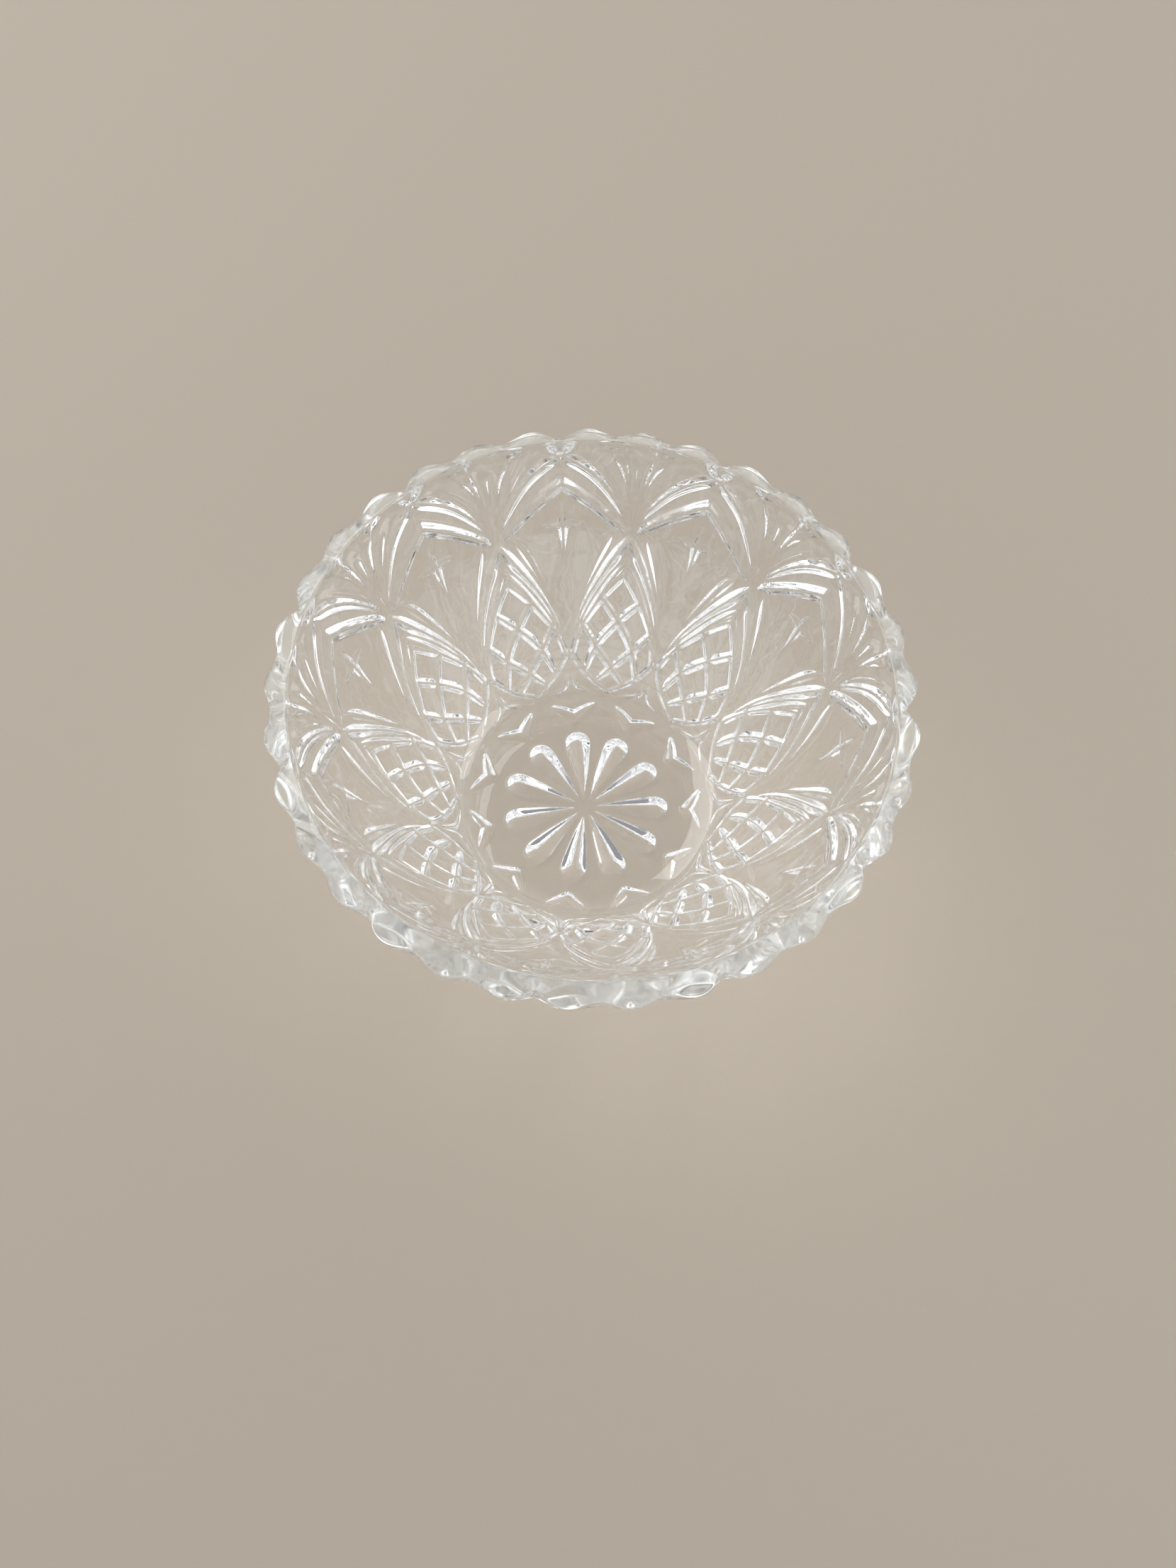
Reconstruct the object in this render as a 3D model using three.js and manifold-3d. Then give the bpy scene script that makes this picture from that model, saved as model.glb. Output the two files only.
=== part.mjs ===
// Small pressed-glass bowl with a scalloped rim, used as a dappen dish.
// One body of clear glass: a smooth inside, and a pattern pressed into the outside in eleven
// repeats. Each repeat has a fan of flutes, a pineapple outline and a chevron, and under the
// base lies a daisy of eleven petals inside a low foot ring.
// Millimetres, +Z up, origin on the bowl's axis at the plane that it stands on.

import * as THREE from 'three';
import { mergeVertices } from 'three/addons/utils/BufferGeometryUtils.js';
import Module from 'manifold-3d';

const wasm = await Module();
wasm.setup();

// ---- Driving dimensions ----------------------------------------------------------------

const repeats = 11;              // pattern repeats around the bowl
const scallopsPerRepeat = 3;     // scallops of the rim in each repeat
const columnsPerRepeat = 12;     // mesh columns in each repeat

const height = 53.4;             // foot plane to the rim
const mouthRadius = 57.7;        // inner edge of the rim
const rimRadius = 62.8;          // tips of the scallops
const floorThickness = 4.0;      // glass between the inside floor and the base recess
const footOuterRadius = 27.6;
const footInnerRadius = 26.2;
const recessHeight = 0.4;        // how far the base inside the foot ring stands off the table
const scallopDepth = 1.3;        // tip to valley of a scallop
const notchDepth = 0.9;          // extra depth of the valley between two repeats
const rimDrop = 3.0;             // how far the scalloped edge lies below the rim's inner edge
const petalLength = 15.0;
const petalOuterRadius = 17.6;   // outer end of a daisy petal
const petalWidth = 5.2;
const petalDepth = 0.9;

// Smooth outside of the glass before the pattern is cut, from the rim down to the foot.
const outside = [
  [rimRadius, height - rimDrop],
  [61.6, 48.3],
  [59.6, 45.2],
  [57.0, 40.8],
  [51.9, 30.9],
  [45.7, 21.3],
  [40.6, 14.5],
  [35.6, 8.3],
  [32.6, 4.6],
  [30.6, 2.2],
  [28.9, 0.6],
];

// Inside of the bowl, from the floor up to the rim.
const inside = [
  [21.5, floorThickness + recessHeight],
  [26.7, 5.6],
  [32.3, 10.8],
  [40.6, 21.3],
  [48.0, 32.9],
  [52.9, 42.6],
  [mouthRadius - 0.4, height - 0.6],
];

// ---- Small helpers ---------------------------------------------------------------------

const repeatAngle = (2 * Math.PI) / repeats;

// Arc length along the outside, measured from the rim downwards.
const outsideLength = [0];
for (let i = 1; i < outside.length; i += 1) {
  const [r0, z0] = outside[i - 1];
  const [r1, z1] = outside[i];
  outsideLength.push(outsideLength[i - 1] + Math.hypot(r1 - r0, z1 - z0));
}
const outsideSpline = new THREE.CatmullRomCurve3(
  outside.map(([r, z]) => new THREE.Vector3(r, 0, z)), false, 'centripetal',
);
outsideSpline.arcLengthDivisions = 400;
const splineLength = outsideSpline.getLength();

// Point and outward normal on the outside, `down` millimetres below the rim and `across`
// repeats round from a fan's axis.
function onOutside(across, down) {
  const t = THREE.MathUtils.clamp(down / splineLength, 0, 1);
  const at = outsideSpline.getPointAt(t);
  const along = outsideSpline.getTangentAt(t);
  const angle = across * repeatAngle + Math.PI / 2;
  const radial = new THREE.Vector3(Math.cos(angle), Math.sin(angle), 0);
  const point = radial.clone().multiplyScalar(at.x).setZ(at.z);
  const normal = radial.clone().multiplyScalar(-along.z).setZ(along.x);
  return { point, normal: normal.normalize() };
}

// Triangles between two neighbouring rings. A ring has as many points as its neighbour, twice
// as many, or half as many.
function bandBetween(low, high) {
  const faces = [];
  const steps = Math.max(low.count, high.count);
  const at = (ring, step) => ring.first + (Math.floor((step * ring.count) / steps) % ring.count);
  for (let j = 0; j < steps; j += 1) {
    const corners = [at(low, j), at(low, j + 1), at(high, j + 1), at(high, j)];
    if (corners[0] !== corners[1]) {
      faces.push(corners[0], corners[1], corners[2]);
    }
    if (corners[2] !== corners[3]) {
      faces.push(corners[0], corners[2], corners[3]);
    }
  }
  return faces;
}

// A closed solid from a list of rings. The first and last rings are closed by a fan of
// triangles to their middle point.
function solidFromRings(rings) {
  const positions = rings.flat().flatMap((p) => [p.x, p.y, p.z]);
  const faces = [];
  const spans = [];
  let first = 0;
  for (const points of rings) {
    spans.push({ first, count: points.length });
    first += points.length;
  }
  for (let i = 0; i < rings.length - 1; i += 1) {
    faces.push(...bandBetween(spans[i], spans[i + 1]));
  }
  const addCap = (points, span, outward) => {
    const middle = points.reduce((sum, p) => sum.add(p), new THREE.Vector3());
    middle.divideScalar(span.count);
    const centre = positions.length / 3;
    positions.push(middle.x, middle.y, middle.z);
    for (let j = 0; j < span.count; j += 1) {
      const a = span.first + j;
      const b = span.first + ((j + 1) % span.count);
      faces.push(...(outward ? [centre, a, b] : [centre, b, a]));
    }
  };
  addCap(rings[0], spans[0], false);
  addCap(rings.at(-1), spans.at(-1), true);
  const geometry = new THREE.BufferGeometry();
  geometry.setAttribute('position', new THREE.Float32BufferAttribute(positions, 3));
  geometry.setIndex(faces);
  return toManifold(geometry);
}

// Turns a closed geometry into a solid that can be cut.
function toManifold(geometry) {
  geometry.deleteAttribute('normal');
  geometry.deleteAttribute('uv');
  const merged = mergeVertices(geometry, 1e-4);
  return new wasm.Manifold(new wasm.Mesh({
    numProp: 3,
    vertProperties: new Float32Array(merged.attributes.position.array),
    triVerts: new Uint32Array(merged.index.array),
  }));
}

// ---- The plain bowl with its scalloped rim ----------------------------------------------

// How far the outside is drawn in at a place across the repeat: flutes between the tips, and
// a deeper notch where two repeats meet.
function fluteDepth(across) {
  const wave = 0.5 - 0.5 * Math.cos(2 * Math.PI * scallopsPerRepeat * across);
  const notch = Math.max(0, 1 - 6 * Math.abs(Math.abs(across) - 0.5));
  return scallopDepth * wave + notchDepth * notch;
}

// One level ring of the bowl. The scalloped part has all the columns, and the plain part has
// half as many, set half a column round so that none runs along the pattern's mirror lines.
function ring(radius, z, flute) {
  const points = [];
  const perRepeat = flute > 0 ? columnsPerRepeat : columnsPerRepeat / 2;
  const shift = flute > 0 ? 0 : 0.5;
  for (let k = 0; k < repeats * perRepeat; k += 1) {
    const across = ((k + shift) % perRepeat) / perRepeat - 0.5;
    const angle = Math.PI / 2 + ((k + shift) / perRepeat - 0.5) * repeatAngle;
    const r = radius - flute * fluteDepth(across);
    points.push(new THREE.Vector3(r * Math.cos(angle), r * Math.sin(angle), z));
  }
  return points;
}

function plainBowl() {
  const rings = [];
  rings.push(ring(footInnerRadius - 0.9, recessHeight, 0));
  rings.push(ring(footInnerRadius, 0, 0));
  rings.push(ring(footOuterRadius, 0, 0));
  // The flutes are full depth at the rim and run out towards the fan's foot.
  const fanLength = outsideLength[4];
  for (let i = outside.length - 1; i >= 0; i -= 1) {
    const [r, z] = outside[i];
    const fade = Math.max(0, 1 - outsideLength[i] / fanLength);
    rings.push(ring(r, z, fade));
  }
  rings.push(ring(rimRadius - 1.1, height - 0.5 * rimDrop, 1));
  rings.push(ring(mouthRadius + 0.3, height, 0));
  for (let i = inside.length - 1; i >= 0; i -= 1) {
    rings.push(ring(inside[i][0], inside[i][1], 0));
  }
  return solidFromRings(rings);
}

// ---- Pattern cutters -------------------------------------------------------------------

// A mitre groove: a V-shaped cut whose bottom follows a path on the outside. The path's points
// are [across, down] pairs, and the cut is shallow at both ends.
function mitreGroove(path, width, depth) {
  const clearance = 1.0;
  const curve = new THREE.CatmullRomCurve3(
    path.map(([across, down]) => new THREE.Vector3(across, down, 0)), false, 'centripetal',
  );
  const steps = path.length - 1;
  const rings = [];
  for (let i = 0; i <= steps; i += 1) {
    const t = i / steps;
    const here = curve.getPoint(t);
    const before = curve.getPoint(Math.max(0, t - 0.01));
    const after = curve.getPoint(Math.min(1, t + 0.01));
    const { point, normal } = onOutside(here.x, here.y);
    const start = onOutside(before.x, before.y).point;
    const end = onOutside(after.x, after.y).point;
    const along = end.sub(start).normalize();
    const side = new THREE.Vector3().crossVectors(along, normal).normalize();
    const swell = 0.35 + 0.65 * Math.sin(Math.PI * THREE.MathUtils.clamp(t, 0.02, 0.98));
    const cut = depth * swell;
    const reach = (width / (2 * depth)) * (cut + clearance);
    rings.push([
      point.clone().addScaledVector(normal, -cut),
      point.clone().addScaledVector(normal, clearance).addScaledVector(side, -reach),
      point.clone().addScaledVector(normal, clearance).addScaledVector(side, reach),
    ]);
  }
  return solidFromRings(rings);
}

// The chevron between two fans, from one fan's foot over the repeat's edge to the next.
function chevron() {
  const leg = [[0.08, 22.6], [0.29, 17.3], [0.47, 13.1]];
  const otherLeg = leg.map(([across, down]) => [1 - across, down]).reverse();
  return mitreGroove([...leg, ...otherLeg], 2.4, 1.1);
}

// One side of the pineapple, from its top tip round its widest place to its bottom tip.
function pineappleSide(side) {
  const path = [[0.03, 25.4], [0.2, 34.6], [0.34, 42.6], [0.43, 49.6]];
  return mitreGroove(path.map(([across, down]) => [side * across, down]), 1.8, 0.9);
}

function pineappleBottom() {
  const half = [[-0.42, 53.0], [-0.24, 57.0], [-0.03, 59.9]];
  const otherHalf = half.map(([across, down]) => [-across, down]).reverse();
  return mitreGroove([...half, ...otherHalf], 1.6, 0.8);
}

// A petal of the daisy under the base: a shallow teardrop hollow, widest near its outer end.
function daisyPetal() {
  const geometry = new THREE.SphereGeometry(1, 8, 6);
  const position = geometry.attributes.position;
  for (let i = 0; i < position.count; i += 1) {
    const lengthwise = position.getX(i);
    const taper = 0.6 + 0.4 * lengthwise;
    position.setXYZ(
      i,
      petalOuterRadius - petalLength / 2 + (lengthwise * petalLength) / 2,
      (position.getY(i) * petalWidth * taper) / 2,
      recessHeight - petalDepth / 4 + position.getZ(i) * petalDepth,
    );
  }
  return toManifold(geometry);
}

function patternCutters() {
  const cutters = [];
  const oneRepeat = [
    chevron(), pineappleSide(1), pineappleSide(-1), pineappleBottom(),
  ];
  const petal = daisyPetal();
  for (let k = 0; k < repeats; k += 1) {
    const turn = (360 / repeats) * k;
    for (const cutter of oneRepeat) {
      cutters.push(cutter.rotate([0, 0, turn]));
    }
    cutters.push(petal.rotate([0, 0, 90 + turn + 180 / repeats]));
  }
  return cutters;
}

// ---- The finished bowl -----------------------------------------------------------------

function glassBowl() {
  let bowl = plainBowl();
  for (const cutter of patternCutters()) {
    bowl = bowl.subtract(cutter);
  }
  const mesh = bowl.getMesh();
  const geometry = new THREE.BufferGeometry();
  const positions = new Float32Array(mesh.vertProperties);
  geometry.setAttribute('position', new THREE.BufferAttribute(positions, mesh.numProp));
  geometry.setIndex(new THREE.BufferAttribute(new Uint32Array(mesh.triVerts), 1));
  geometry.computeVertexNormals();
  const glass = new THREE.MeshStandardMaterial({
    color: 0xe9efec,
    roughness: 0.05,
    metalness: 0,
    transparent: true,
    opacity: 0.35,
  });
  const bowlMesh = new THREE.Mesh(geometry, glass);
  bowlMesh.name = 'glass_bowl';
  return bowlMesh;
}

const dappenDish = new THREE.Group();
dappenDish.add(glassBowl());

export default dappenDish;
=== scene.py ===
"""A pressed-glass dish with a scalloped rim, seen from above on a plain pale table.

The whole dish is one piece of clear glass. Its inside is smooth. Its outside and base carry a
pressed pattern in eleven repeats, each its own mirror image, so the relief is worked out once,
over half a repeat, as the depth of a set of mitre cuts, troughs and gouges, and then copied
around the dish.

Lengths in the pattern are in mouth radii. A place on the outside is (across, along): across is
0 on the axis of a fan and 0.5 where two repeats meet, and along is the distance from the middle
of the base, up the outside, to the rim.
"""

import math

import bpy
import numpy as np
from mathutils import Matrix, Vector


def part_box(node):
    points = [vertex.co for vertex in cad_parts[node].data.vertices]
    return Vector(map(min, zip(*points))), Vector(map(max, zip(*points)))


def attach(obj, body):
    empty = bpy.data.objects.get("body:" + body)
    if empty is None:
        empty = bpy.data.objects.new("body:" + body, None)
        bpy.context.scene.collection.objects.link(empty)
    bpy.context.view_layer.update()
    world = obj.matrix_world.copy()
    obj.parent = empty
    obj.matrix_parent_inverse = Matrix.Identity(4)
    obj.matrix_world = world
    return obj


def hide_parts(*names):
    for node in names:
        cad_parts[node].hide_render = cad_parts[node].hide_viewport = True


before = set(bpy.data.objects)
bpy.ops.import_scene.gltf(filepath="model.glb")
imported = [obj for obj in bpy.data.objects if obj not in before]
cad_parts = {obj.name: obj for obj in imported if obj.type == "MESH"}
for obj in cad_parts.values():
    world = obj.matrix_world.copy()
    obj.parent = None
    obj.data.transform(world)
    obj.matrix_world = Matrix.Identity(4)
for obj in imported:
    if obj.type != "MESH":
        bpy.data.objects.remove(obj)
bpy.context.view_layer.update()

# ---- Sizes, from the CAD box ------------------------------------------------------------

NODE = "glass_bowl"
box_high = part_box(NODE)[1]
HEIGHT = box_high[2]
TIP_RADIUS = box_high[1]
TIP_TO_MOUTH = 1.0884            # radius of the scallop tips, in mouth radii
MOUTH = TIP_RADIUS / TIP_TO_MOUTH    # radius of the rim's inner edge

REPEATS = 11
REPEAT_ANGLE = 2 * math.pi / REPEATS

# ---- Profile of the dish, in mouth radii, with height 0 at the rim's inner edge -------------

# Base and outside before the pattern is cut: distance along, radius, height. The base is
# level inside a low foot ring.
OUTSIDE = (
    (0.000, 0.000, -0.9185),
    (0.200, 0.200, -0.9185),
    (0.360, 0.360, -0.9185),
    (0.410, 0.415, -0.9220),
    (0.440, 0.4525, -0.9255),
    (0.462, 0.478, -0.9255),
    (0.484, 0.502, -0.9140),
    (0.525, 0.531, -0.8865),
    (0.575, 0.566, -0.8445),
    (0.634, 0.614, -0.785),
    (0.870, 0.764, -0.592),
    (1.113, 0.899, -0.388),
    (1.301, 0.984, -0.216),
    (1.400, 1.0330, -0.147),
    (1.465, 1.0715, -0.103),
    (1.515, 1.0845, -0.055),
)

# Inside: radius, height, from the rim to the edge of the flat floor.
INSIDE = (
    (1.000, -0.008),
    (0.917, -0.187),
    (0.832, -0.355),
    (0.704, -0.556),
    (0.560, -0.738),
    (0.463, -0.826),
    (0.400, -0.846),
    (0.330, -0.849),
)

FOOT_LEVEL = -HEIGHT / MOUTH     # where the foot ring is flattened, to stand level

# ---- The rim, in mouth radii ---------------------------------------------------------------

FLUTE_START = 1.37               # distance along at which the rim's flutes begin
SCALLOPS = 3                     # in each repeat
SCALLOP_DEPTH = 0.026            # tip to valley of a scallop
NOTCH_DEPTH = 0.019              # extra depth of the valley where two repeats meet
NOTCH_SPREAD = 0.055             # sideways reach of that extra depth, in repeats
EDGE_ROUND = 0.012               # rounding of the scalloped edge
EDGE_OUT = 0.64                  # how far out the corner is that the edge rounds off, in EDGE_ROUND
EDGE_UP = 0.77                   # how far up that corner is, and the rim's top again above it
RIM_TOP_CROWN = 1.35             # 1 for a straight slope from edge to lip, more for a crowned one
LIP_ROUND = 0.008                # rounding of the rim's inner edge
RIM_SATIN = 0.7                  # how satin the rim is, from 0 to 1
LIP_SATIN = 0.35                 # how satin its inner edge is

# ---- Fineness of the mesh ------------------------------------------------------------------

HALF_COLUMNS = 44                # columns in half a repeat, where the mesh is finest
INSIDE_COLUMNS = HALF_COLUMNS // 4

# Bands of the base and outside, up to the rim's edge: distance along at both ends, columns in
# half a repeat, and about how far apart the rings are.
OUTSIDE_BANDS = (
    (0.012, 0.110, HALF_COLUMNS // 4, 0.0065),
    (0.110, 0.220, HALF_COLUMNS // 2, 0.0050),
    (0.220, OUTSIDE[-1][0], HALF_COLUMNS, 0.0043),
)
EDGE_RINGS = 6
RIM_TOP_RINGS = 16
LIP_RINGS = 4
INSIDE_RINGS = 89
FLOOR_RINGS = 13
FLOOR_HUB = 0.03                 # radius of the floor's smallest ring


def smooth_curve(knots, values, at):
    """Cubic curve through the points, its slope at each taken from that point's neighbours."""
    knots = np.asarray(knots, float)
    values = np.asarray(values, float)
    slopes = np.gradient(values, knots)
    i = np.clip(np.searchsorted(knots, at, side="right") - 1, 0, len(knots) - 2)
    width = knots[i + 1] - knots[i]
    t = (at - knots[i]) / width
    start = (1 + 2 * t) * (1 - t) ** 2 * values[i] + t * (1 - t) ** 2 * width * slopes[i]
    end = t * t * (3 - 2 * t) * values[i + 1] + t * t * (t - 1) * width * slopes[i + 1]
    return start + end


def surface_at(along):
    """Radius and height of the plain base and outside, for a distance along."""
    table = np.array(OUTSIDE)
    along = np.asarray(along, float)
    radius = smooth_curve(table[:, 0], table[:, 1], along)
    level = smooth_curve(table[:, 0], table[:, 2], along)
    return radius, np.maximum(level, FOOT_LEVEL)


# ---- The pressed pattern -----------------------------------------------------------------

MITRE_SLOPE = 1.18               # depth of a mitre, in its half-widths
TROUGH_DEPTH = 0.021
GOUGE_SLOPE = 0.79               # depth of a gouge, in its half-widths
GOUGE_ROUNDNESS = 1.17           # 1 for flat sides, 2 for fully round ones
FULL_CUT = 0.012                 # depth at which a cut is as satin as CUTS says
STEPS_ALONG_CUT = 12             # straight pieces between two points of a cut
CUT_MARGIN = 0.01                # how far past its half-width a cut is looked for
NARROWEST = 1e-6                 # least half-width that a gouge is divided by
SOFTNESS = 0.18                  # share of each neighbour when the pattern is softened

# Each cut: its kind, how satin its faces are from 0 to 1, then (across, along, half-width) down
# its middle line. A mitre has flat sides that meet in a V, a trough is a mitre with a flat
# bottom, and a gouge has slightly rounded sides. All of them are mirrored about the fan's axis
# and where two repeats meet.
CUTS = {
    "inner_chevron": ("mitre", 0.05, (
        (0.055, 1.130, 0.009), (0.12, 1.160, 0.024), (0.28, 1.227, 0.030), (0.50, 1.318, 0.031))),
    "outer_chevron": ("mitre", 0.1, (
        (0.045, 1.160, 0.003), (0.10, 1.215, 0.015), (0.20, 1.295, 0.023), (0.30, 1.360, 0.027),
        (0.40, 1.408, 0.029), (0.50, 1.448, 0.031))),
    "fan_trough": ("trough", 0.0, (
        (0.050, 1.255, 0.001), (0.066, 1.330, 0.012), (0.097, 1.400, 0.022),
        (0.130, 1.445, 0.036), (0.160, 1.500, 0.050))),
    "fan_leaf": ("trough", 0.0, (
        (0.0, 1.275, 0.001), (0.0, 1.330, 0.010), (0.0, 1.390, 0.015))),
    "fan_ray": ("mitre", 0.0, (
        (0.020, 1.150, 0.002), (0.11, 1.270, 0.009), (0.20, 1.360, 0.010), (0.29, 1.435, 0.003))),
    "fan_stem": ("mitre", 0.0, (
        (0.0, 1.125, 0.003), (0.0, 1.190, 0.008), (0.0, 1.262, 0.002))),
    "pineapple_outer": ("mitre", 0.25, (
        (0.0, 1.106, 0.014), (0.05, 1.063, 0.024), (0.12, 1.000, 0.027), (0.20, 0.933, 0.024),
        (0.30, 0.848, 0.017), (0.38, 0.765, 0.012), (0.44, 0.690, 0.006))),
    "pineapple_inner": ("mitre", 0.15, (
        (0.0, 0.998, 0.010), (0.06, 0.955, 0.020), (0.12, 0.910, 0.022), (0.20, 0.848, 0.020),
        (0.30, 0.770, 0.017), (0.40, 0.690, 0.015), (0.455, 0.636, 0.015))),
    "pineapple_base": ("mitre", 0.15, (
        (0.455, 0.636, 0.015), (0.43, 0.612, 0.015), (0.30, 0.562, 0.015), (0.15, 0.520, 0.015),
        (0.0, 0.487, 0.015))),
    "side_leaf": ("gouge", 0.0, (
        (0.125, 1.118, 0.005), (0.16, 1.090, 0.018), (0.21, 1.040, 0.024), (0.29, 0.940, 0.018),
        (0.36, 0.855, 0.010), (0.41, 0.790, 0.001))),
    "lattice_top": ("mitre", 0.15, (
        (0.0, 0.950, 0.020), (0.18, 0.850, 0.022), (0.315, 0.758, 0.018))),
    "lattice_middle": ("mitre", 0.15, (
        (-0.195, 0.856, 0.018), (0.0, 0.757, 0.022), (0.20, 0.655, 0.021), (0.31, 0.578, 0.014))),
    "lattice_bottom": ("mitre", 0.15, (
        (-0.36, 0.738, 0.018), (-0.20, 0.651, 0.021), (0.0, 0.590, 0.020), (0.16, 0.538, 0.013))),
    "star_upright": ("mitre", 0.0, (
        (0.50, 0.985, 0.001), (0.50, 1.070, 0.013), (0.50, 1.143, 0.021), (0.50, 1.225, 0.001))),
    "star_arm": ("mitre", 0.0, (
        (0.50, 1.143, 0.019), (0.42, 1.145, 0.013), (0.34, 1.147, 0.001))),
    "base_petal": ("mitre", 0.0, (
        (0.060, 0.468, 0.003), (0.20, 0.475, 0.009), (0.35, 0.490, 0.013), (0.43, 0.512, 0.013),
        (0.47, 0.560, 0.007), (0.485, 0.605, 0.001))),
    "base_chevron": ("gouge", 0.0, (
        (0.14, 0.434, 0.002), (0.23, 0.420, 0.014), (0.34, 0.402, 0.021), (0.50, 0.378, 0.026))),
    "daisy_petal": ("gouge", 0.0, (
        (0.50, 0.045, 0.003), (0.50, 0.150, 0.029), (0.50, 0.235, 0.045), (0.50, 0.262, 0.0475))),
}


def cut_middle(points):
    """The cut's middle line in space, with its half-width at each step."""
    table = np.array(points)
    knots = np.arange(len(table), dtype=float)
    at = np.linspace(0, len(table) - 1, STEPS_ALONG_CUT * (len(table) - 1) + 1)
    across, along, width = (smooth_curve(knots, table[:, k], at) for k in range(3))
    radius, level = surface_at(along)
    return across, radius, level, np.maximum(width, 0.0)


def place(across, radius, level):
    """Points in space, from the turn around the axis, the radius and the height."""
    across, radius, level = np.broadcast_arrays(across, radius, level)
    angle = across * REPEAT_ANGLE
    return np.stack([radius * np.sin(angle), radius * np.cos(angle), level], -1)


def cut_depth(points, line, widths, kind):
    """How deep one cut goes at each point: the deepest of its straight pieces."""
    depth = np.zeros(len(points))
    for i in range(len(line) - 1):
        start = line[i]
        step = line[i + 1] - start
        t = np.clip((points - start) @ step / (step @ step), 0, 1)
        apart = np.linalg.norm(points - (start + t[:, None] * step), axis=1)
        width = widths[i] + t * (widths[i + 1] - widths[i])
        if kind == "mitre":
            here = MITRE_SLOPE * (width - apart)
        elif kind == "trough":
            here = np.minimum(MITRE_SLOPE * (width - apart), TROUGH_DEPTH)
        else:
            ratio = apart / np.maximum(width, NARROWEST)
            here = GOUGE_SLOPE * width * (1 - ratio**GOUGE_ROUNDNESS)
        depth = np.maximum(depth, here)
    return depth


def relief(across, along):
    """Depth of the pattern, and how satin it is, over a grid of places in half a repeat."""
    radius, level = surface_at(along)
    grid = place(across[None, :], radius[:, None], level[:, None])
    depth = np.zeros(grid.shape[:2])
    satin = np.zeros(grid.shape[:2])
    for kind, cut_satin, points in CUTS.values():
        middle_across, middle_radius, middle_level, widths = cut_middle(points)
        reach = widths.max() + CUT_MARGIN
        distances = np.array(points)[:, 1]
        rows = (along > distances.min() - reach) & (along < distances.max() + reach)
        if not rows.any():
            continue
        places = grid[rows].reshape(-1, 3)
        deepest = np.zeros(len(places))
        for copy in (middle_across, -middle_across, 1 - middle_across):
            line = place(copy, middle_radius, middle_level)
            deepest = np.maximum(deepest, cut_depth(places, line, widths, kind))
        deepest = deepest.reshape(rows.sum(), -1)
        depth[rows] = np.maximum(depth[rows], deepest)
        satin[rows] = np.maximum(satin[rows], cut_satin * np.clip(deepest / FULL_CUT, 0, 1))
    return depth, satin


def rim_fade(along):
    """Rises smoothly from 0 where the rim's flutes begin to 1 at the scalloped edge."""
    fade = np.clip((along - FLUTE_START) / (OUTSIDE[-1][0] - FLUTE_START), 0, 1)
    return fade * fade * (3 - 2 * fade)


def scallops(across, along):
    """The flutes that make the rim's scallops, running out below it, over the same grid."""
    wave = 0.5 - 0.5 * np.cos(2 * math.pi * SCALLOPS * across)
    notch = np.exp(-((0.5 - across) / NOTCH_SPREAD) ** 2)
    return rim_fade(along)[:, None] * (SCALLOP_DEPTH * wave + NOTCH_DEPTH * notch)


def soften(depth):
    """Rounds the pattern's edges by part of a grid step, as pressing and fire-polishing do."""
    own = 1 - 2 * SOFTNESS
    mirrored = np.concatenate([depth[:, 1:2], depth, depth[:, -2:-1]], axis=1)
    sideways = SOFTNESS * mirrored[:, :-2] + own * mirrored[:, 1:-1] + SOFTNESS * mirrored[:, 2:]
    padded = np.concatenate([sideways[:1], sideways, sideways[-1:]], axis=0)
    return SOFTNESS * padded[:-2] + own * padded[1:-1] + SOFTNESS * padded[2:]


# ---- Rings of the dish --------------------------------------------------------------------


def whole(half):
    """Values all the way round, from those over half a repeat."""
    return np.tile(np.concatenate([half[:0:-1], half[:-1]]), REPEATS)


def full_ring(half_radius, half_level, half_satin):
    """A whole ring of points, each with how satin the glass is there, from half a repeat."""
    columns = len(half_radius) - 1
    across = np.arange(2 * columns * REPEATS) / (2 * columns) - 0.5
    points = place(across, whole(half_radius), whole(half_level) + HEIGHT / MOUTH) * MOUTH
    return np.column_stack([points, whole(half_satin)])


def plain_ring(radius, level):
    """A round, level ring of clear glass, for the inside."""
    even = np.ones(INSIDE_COLUMNS + 1)
    return full_ring(radius * even, level * even, 0 * even)


def pattern_rings(along, columns):
    """Half a repeat of the base's or outside's rings, with the pattern cut into them.

    The cuts go in square to the surface, but ever more level over the rim's flutes.
    """
    across = np.linspace(0, 0.5, columns + 1)
    radius, level = surface_at(along)
    slope_radius = np.gradient(radius, along)
    slope_level = np.gradient(level, along)
    length = np.hypot(slope_radius, slope_level)
    inward_radius = -slope_level / length
    inward_level = slope_radius / length * (1 - rim_fade(along))
    cuts, satin = relief(across, along)
    depth = np.maximum(soften(cuts), scallops(across, along))
    half_radius = radius[:, None] + inward_radius[:, None] * depth
    half_level = level[:, None] + inward_level[:, None] * depth
    return half_radius, half_level, satin


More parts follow.
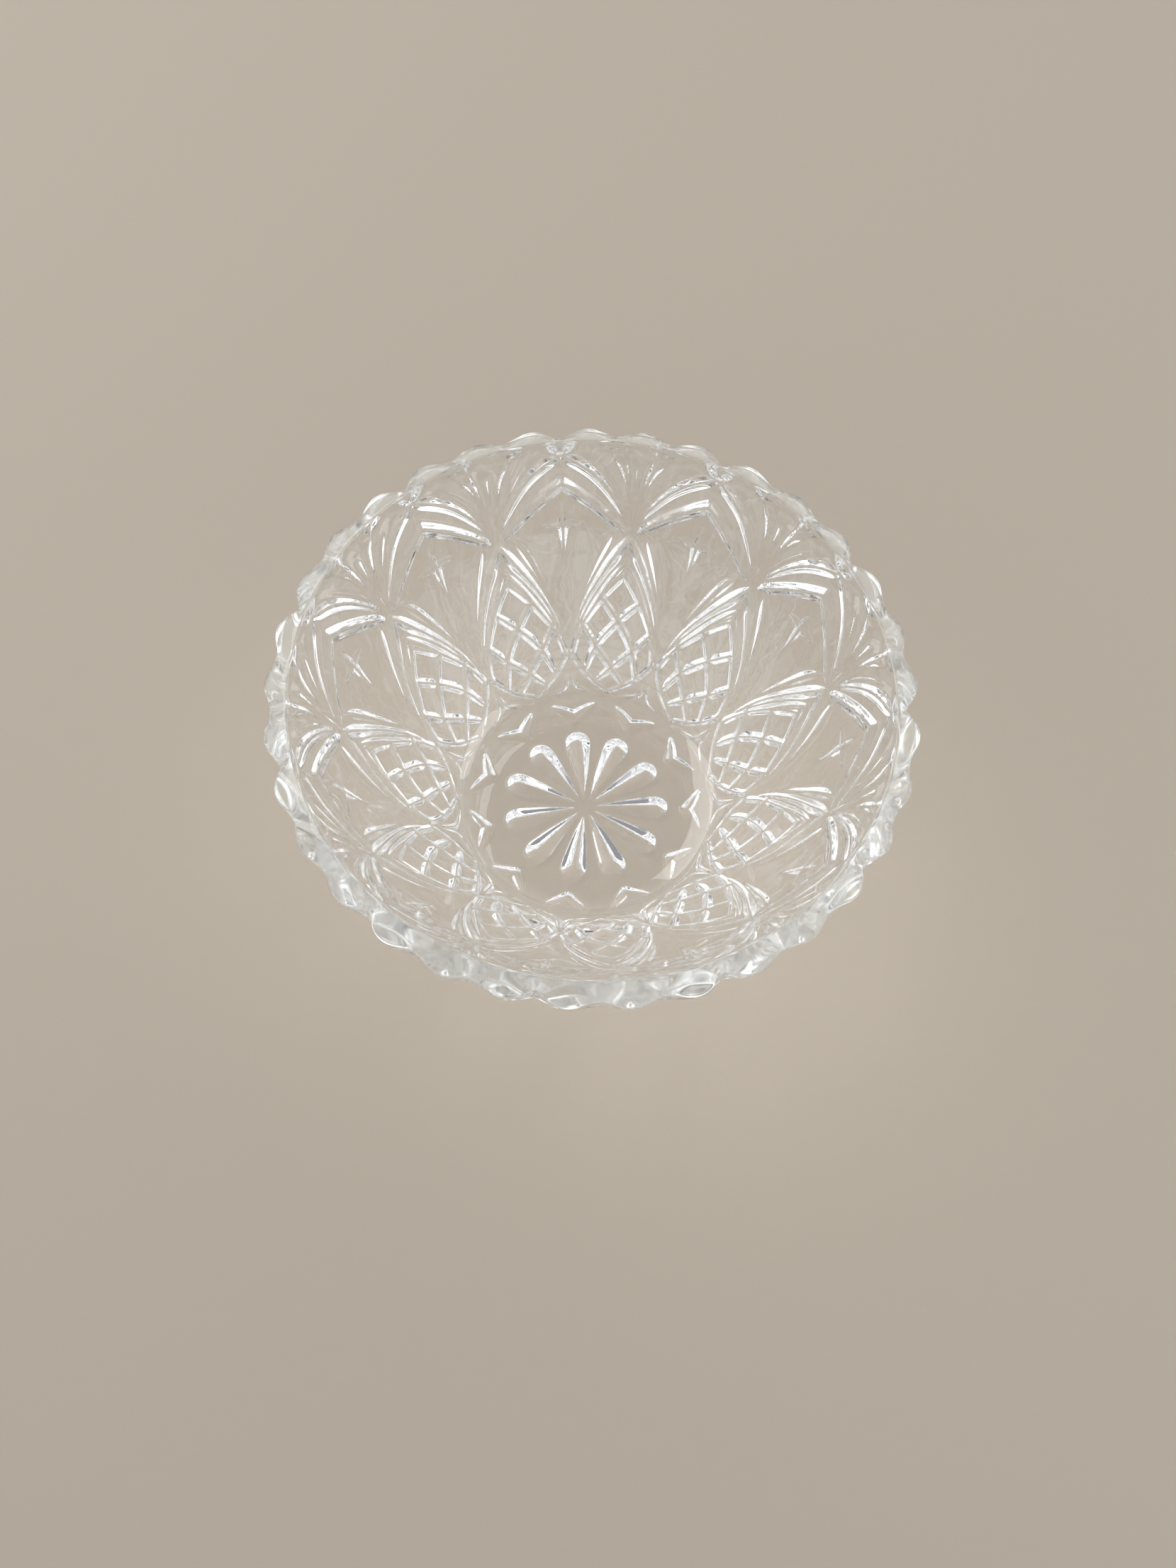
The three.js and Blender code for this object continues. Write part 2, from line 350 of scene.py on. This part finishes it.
def rim_rings(edge_radius, edge_level):
    """The rounded scalloped edge, the sloping top of the rim and the rounded lip."""
    rings = []
    rim_satin = np.full_like(edge_radius, RIM_SATIN)
    lip_satin = np.full_like(edge_radius, LIP_SATIN)
    corner_radius = edge_radius + EDGE_OUT * EDGE_ROUND
    corner_level = edge_level + EDGE_UP * EDGE_ROUND
    top_level = corner_level + EDGE_UP * EDGE_ROUND
    for t in np.linspace(0, 1, EDGE_RINGS + 1)[1:]:
        bend = 2 * t * (1 - t)
        radius = (1 - bend) * edge_radius + bend * corner_radius
        level = (1 - t) ** 2 * edge_level + bend * corner_level + t * t * top_level
        rings.append((radius, level, rim_satin))
    lip_radius = 1.0 + LIP_ROUND
    for t in np.linspace(0, 1, RIM_TOP_RINGS + 1)[1:]:
        radius = edge_radius + t * (lip_radius - edge_radius)
        level = top_level * (1 - t) ** RIM_TOP_CROWN
        rings.append((radius, level, rim_satin))
    for turn in np.linspace(0, math.pi / 2, LIP_RINGS + 1)[1:]:
        radius = np.full_like(edge_radius, lip_radius - LIP_ROUND * math.sin(turn))
        level = np.full_like(edge_radius, -LIP_ROUND * (1 - math.cos(turn)))
        rings.append((radius, level, lip_satin))
    return rings


def inside_rings():
    """The smooth inside, from the lip down to the floor, and the floor."""
    table = np.array(INSIDE)
    steps = np.hypot(*np.diff(table, axis=0).T)
    knots = np.concatenate([[0.0], np.cumsum(steps)])
    at = np.linspace(0, knots[-1], INSIDE_RINGS + 1)[1:]
    radius = smooth_curve(knots, table[:, 0], at)
    level = smooth_curve(knots, table[:, 1], at)
    rings = [plain_ring(r, z) for r, z in zip(radius, level)]
    floor_radius, floor_level = INSIDE[-1]
    for r in np.linspace(floor_radius, FLOOR_HUB, FLOOR_RINGS + 1)[1:]:
        rings.append(plain_ring(r, floor_level))
    return rings


def bowl_rings():
    """All rings of the closed surface, from the middle of the base round to the floor."""
    rings = []
    for low, high, columns, spacing in OUTSIDE_BANDS:
        along = np.linspace(low, high, int((high - low) / spacing) + 1)
        half_radius, half_level, half_satin = pattern_rings(along, columns)
        for radius, level, satin in zip(half_radius[:-1], half_level[:-1], half_satin[:-1]):
            rings.append(full_ring(radius, level, satin))
    rings.append(full_ring(half_radius[-1], half_level[-1], half_satin[-1]))
    for radius, level, satin in rim_rings(half_radius[-1], half_level[-1]):
        rings.append(full_ring(radius, level, satin))
    rings.extend(inside_rings())
    return rings


# ---- The closed mesh ----------------------------------------------------------------------


def band_faces(low, high):
    """Triangles between two rings of point numbers, where one may be several times longer."""
    steps = max(len(low), len(high))
    low = np.repeat(low, steps // len(low))
    high = np.repeat(high, steps // len(high))
    next_low = np.roll(low, -1)
    next_high = np.roll(high, -1)
    first = np.stack([low, next_high, next_low], -1)
    second = np.stack([low, high, next_high], -1)
    return np.concatenate([first[low != next_low], second[high != next_high]])


def build_bowl():
    """Points and triangles of the whole dish, and how satin it is at each point."""
    rings = bowl_rings()
    starts = np.cumsum([0] + [len(ring) for ring in rings])
    points = np.concatenate(rings)
    faces = []
    for i in range(len(rings) - 1):
        low = np.arange(starts[i], starts[i + 1])
        high = np.arange(starts[i + 1], starts[i + 2])
        faces.append(band_faces(low, high))
    clear = 0
    under = np.array([[0, 0, rings[0][0, 2], clear]])
    floor = np.array([[0, 0, rings[-1][0, 2], clear]])
    centre_under = len(points)
    centre_floor = centre_under + 1
    points = np.concatenate([points, under, floor])
    first = np.arange(0, starts[1])
    last = np.arange(starts[-2], starts[-1])
    faces.append(np.stack([first, np.roll(first, -1), np.full_like(first, centre_under)], -1))
    faces.append(np.stack([np.roll(last, -1), last, np.full_like(last, centre_floor)], -1))
    return points[:, :3], np.concatenate(faces), points[:, 3]


def mesh_object(name, points, faces, satin):
    """A smooth-shaded object in the scene, its mesh carrying the satin of each point."""
    mesh = bpy.data.meshes.new(name)
    mesh.vertices.add(len(points))
    mesh.vertices.foreach_set("co", points.astype(np.float32).ravel())
    mesh.loops.add(faces.size)
    mesh.loops.foreach_set("vertex_index", faces.astype(np.int32).ravel())
    mesh.polygons.add(len(faces))
    mesh.polygons.foreach_set("loop_start", np.arange(0, faces.size, 3, dtype=np.int32))
    mesh.update(calc_edges=True)
    mesh.validate()
    mesh.shade_smooth()
    mesh.attributes.new("satin", "FLOAT", "POINT").data.foreach_set("value", satin)
    piece = bpy.data.objects.new(name, mesh)
    bpy.context.scene.collection.objects.link(piece)
    return piece


# ---- Materials ----------------------------------------------------------------------------

GLASS_INDEX = 1.52               # how strongly the glass bends light
WAVE_SCALE = 140.0               # waves of the glass's skin, per metre
WAVE_DETAIL = 1.5
WAVE_STRENGTH = 0.05
WAVE_HEIGHT = 0.001
CLEAR_TINT = (0.985, 0.992, 0.99, 1.0)
SATIN_TINT = (0.78, 0.81, 0.76, 1.0)
CLEAR_ROUGHNESS = 0.0
SATIN_ROUGHNESS = 0.19
CLEAR_PASSES = 1.0               # share of the light that goes into clear glass
SATIN_PASSES = 0.88              # the same for fully satin glass

TABLE_COLOUR = (0.36, 0.31, 0.25, 1.0)
TABLE_ROUGHNESS = 0.7


def add_waves(nodes, links, shader):
    """The faint waves that the mould leaves in the glass."""
    coordinates = nodes.new("ShaderNodeTexCoord")
    wave = nodes.new("ShaderNodeTexNoise")
    wave.inputs["Scale"].default_value = WAVE_SCALE
    wave.inputs["Detail"].default_value = WAVE_DETAIL
    links.new(coordinates.outputs["Object"], wave.inputs["Vector"])
    bump = nodes.new("ShaderNodeBump")
    bump.inputs["Strength"].default_value = WAVE_STRENGTH
    bump.inputs["Distance"].default_value = WAVE_HEIGHT
    links.new(wave.outputs["Fac"], bump.inputs["Height"])
    links.new(bump.outputs["Normal"], shader.inputs["Normal"])


def value_by_satin(nodes, links, satin, clear_value, satin_value, socket):
    """Gives a socket one value on clear glass and another on satin glass."""
    between = nodes.new("ShaderNodeMapRange")
    between.inputs["To Min"].default_value = clear_value
    between.inputs["To Max"].default_value = satin_value
    links.new(satin.outputs["Fac"], between.inputs["Value"])
    links.new(between.outputs["Result"], socket)


def glass_material():
    """Clear pressed glass, rougher, milkier and grey-green where the mesh says it is satin."""
    material = bpy.data.materials.new("pressed_glass")
    material.use_nodes = True
    nodes, links = material.node_tree.nodes, material.node_tree.links
    shader = nodes["Principled BSDF"]
    shader.inputs["IOR"].default_value = GLASS_INDEX
    add_waves(nodes, links, shader)
    satin = nodes.new("ShaderNodeAttribute")
    satin.attribute_name = "satin"
    roughness, passes = shader.inputs["Roughness"], shader.inputs["Transmission Weight"]
    value_by_satin(nodes, links, satin, CLEAR_ROUGHNESS, SATIN_ROUGHNESS, roughness)
    value_by_satin(nodes, links, satin, CLEAR_PASSES, SATIN_PASSES, passes)
    tint = nodes.new("ShaderNodeValToRGB")
    tint.color_ramp.elements[0].color = CLEAR_TINT
    tint.color_ramp.elements[1].color = SATIN_TINT
    links.new(satin.outputs["Fac"], tint.inputs["Fac"])
    links.new(tint.outputs["Color"], shader.inputs["Base Color"])
    return material


def table_material():
    """A plain, pale, matt surface."""
    material = bpy.data.materials.new("pale_table")
    material.use_nodes = True
    shader = material.node_tree.nodes["Principled BSDF"]
    shader.inputs["Base Color"].default_value = TABLE_COLOUR
    shader.inputs["Roughness"].default_value = TABLE_ROUGHNESS
    return material


# ---- The stage, in metres -------------------------------------------------------------------

TABLE_REACH = 2.0                # from the middle of the dish to the table's edges
TABLE_GAP = 0.0002               # keeps the table's top just clear of the foot

CAMERA_PLACE = (0.01796, -0.1648, 0.3563)
CAMERA_AIM = (-0.0005, 0.0066, -0.0011)
CAMERA_ROLL = 4.1                # degrees
CAMERA_LENS = 41.7               # millimetres, on a picture 36 mm high

# The sky's colours: low for the horizon and all below it, then by the height of a direction,
# which is 1 straight up.
SKY_STRENGTH = 1.5
SKY_LOW = (0.86, 0.88, 0.91, 1.0)
SKY_MIDDLE = (0.86, 0.87, 0.89, 1.0)
SKY_MIDDLE_HEIGHT = 0.55
SKY_TOP = (0.20, 0.20, 0.21, 1.0)
SKY_TOP_HEIGHT = 0.85


def add_table():
    """A square table top under the dish, which is left out of the part."""
    mesh = bpy.data.meshes.new("table")
    side = TABLE_REACH
    corners = [(-side, -side, 0), (side, -side, 0), (side, side, 0), (-side, side, 0)]
    mesh.from_pydata(corners, [], [(0, 1, 2, 3)])
    table = bpy.data.objects.new("table", mesh)
    table.location.z = -TABLE_GAP
    bpy.context.scene.collection.objects.link(table)
    mesh.materials.append(table_material())


def add_light(name, azimuth, elevation, distance, width, height, power):
    """A rectangular soft box that faces the dish, its place given in degrees and metres."""
    light = bpy.data.lights.new(name, "AREA")
    light.shape = "RECTANGLE"
    light.size = width
    light.size_y = height
    light.energy = power
    lamp = bpy.data.objects.new(name, light)
    turn, tilt = math.radians(azimuth), math.radians(elevation)
    direction = Vector((
        math.cos(tilt) * math.sin(turn), math.cos(tilt) * math.cos(turn), math.sin(tilt)))
    lamp.location = direction * distance
    lamp.rotation_euler = direction.to_track_quat("Z", "Y").to_euler()
    bpy.context.scene.collection.objects.link(lamp)


def add_world():
    """A plain sky, bright low down and at middle height and darker overhead."""
    world = bpy.data.worlds.new("studio")
    world.use_nodes = True
    nodes, links = world.node_tree.nodes, world.node_tree.links
    sky = nodes["Background"]
    sky.inputs["Strength"].default_value = SKY_STRENGTH
    direction = nodes.new("ShaderNodeTexCoord")
    split = nodes.new("ShaderNodeSeparateXYZ")
    links.new(direction.outputs["Generated"], split.inputs["Vector"])
    by_height = nodes.new("ShaderNodeValToRGB")
    stops = by_height.color_ramp.elements
    stops[0].position = 0.0
    stops[0].color = SKY_LOW
    stops[1].position = SKY_TOP_HEIGHT
    stops[1].color = SKY_TOP
    middle = stops.new(SKY_MIDDLE_HEIGHT)
    middle.color = SKY_MIDDLE
    links.new(split.outputs["Z"], by_height.inputs["Fac"])
    links.new(by_height.outputs["Color"], sky.inputs["Color"])
    bpy.context.scene.world = world


def add_camera():
    """Camera high in front of the dish and a little to its right, turned about its own view."""
    camera = bpy.data.cameras.new("camera")
    camera.sensor_fit = "VERTICAL"
    camera.sensor_height = 36.0
    camera.lens = CAMERA_LENS
    camera.clip_start = 0.01
    eye = bpy.data.objects.new("camera", camera)
    eye.location = CAMERA_PLACE
    away = (eye.location - Vector(CAMERA_AIM)).normalized()
    roll = Matrix.Rotation(math.radians(CAMERA_ROLL), 3, "Z")
    turn = away.to_track_quat("Z", "Y").to_matrix() @ roll
    eye.rotation_euler = turn.to_euler()
    bpy.context.scene.collection.objects.link(eye)
    bpy.context.scene.camera = eye


def set_light_paths():
    """Enough bounces for light to cross all four faces of the glass, with calm highlights."""
    cycles = bpy.context.scene.cycles
    cycles.max_bounces = 24
    cycles.transmission_bounces = 24
    cycles.glossy_bounces = 8
    cycles.diffuse_bounces = 4
    cycles.caustics_refractive = True
    cycles.caustics_reflective = True
    cycles.blur_glossy = 0.3
    cycles.sample_clamp_indirect = 6.0
    bpy.context.scene.view_settings.view_transform = "Standard"


# ---- The dish on its stage ------------------------------------------------------------------

bowl = mesh_object("glass_dish", *build_bowl())
bowl.data.materials.append(glass_material())
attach(bowl, "root")
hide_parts(NODE)
bowl.visible_shadow = False      # clear glass lets the lamps' light through

add_table()
add_light(
    "window_soft_box", azimuth=-60, elevation=48, distance=0.9, width=0.8, height=0.5, power=3.6)
add_light(
    "right_soft_box", azimuth=80, elevation=42, distance=0.9, width=0.6, height=0.4, power=2.0)
add_world()
add_camera()
set_light_paths()
